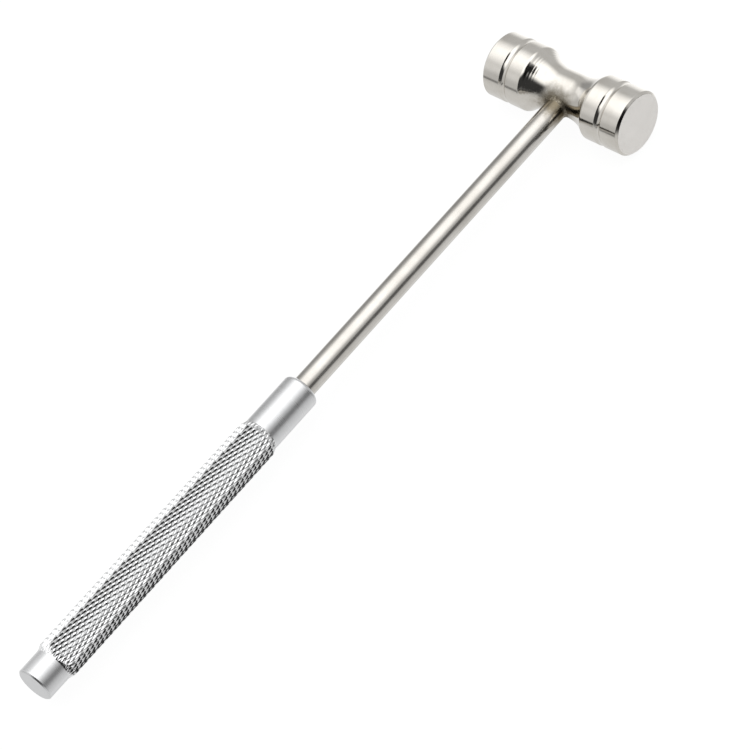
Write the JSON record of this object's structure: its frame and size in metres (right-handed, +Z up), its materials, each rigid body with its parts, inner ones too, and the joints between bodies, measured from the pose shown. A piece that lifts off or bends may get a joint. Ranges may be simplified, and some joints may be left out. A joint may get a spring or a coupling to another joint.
{
  "type": "small double-faced hammer",
  "caption": "Small double-faced metal hammer: turned head with a narrow waist and a groove near each face, slender plated rod, knurled aluminium handle.",
  "frame": {"origin": "on the resting plane, under the middle of the whole hammer's length and width", "axes": "+X along the rod from the butt to the head, Y along the head from face to face, +Z up, square to the plane of rod and head"},
  "size_m": [0.179, 0.0362, 0.0144],
  "materials": {
    "head_plating": "polished nickel plating on steel, faces ground to a fine satin",
    "rod_plating": "polished nickel plating on steel bar",
    "braze": "dull filler metal, stained brown by the flame",
    "handle_aluminium": "fine satin, knurled in the middle"
  },
  "bodies": {
    "root": {"head": "head_plating", "rod": "rod_plating", "braze_fillet": "braze", "handle": "handle_aluminium"}
  },
  "joints": []
}
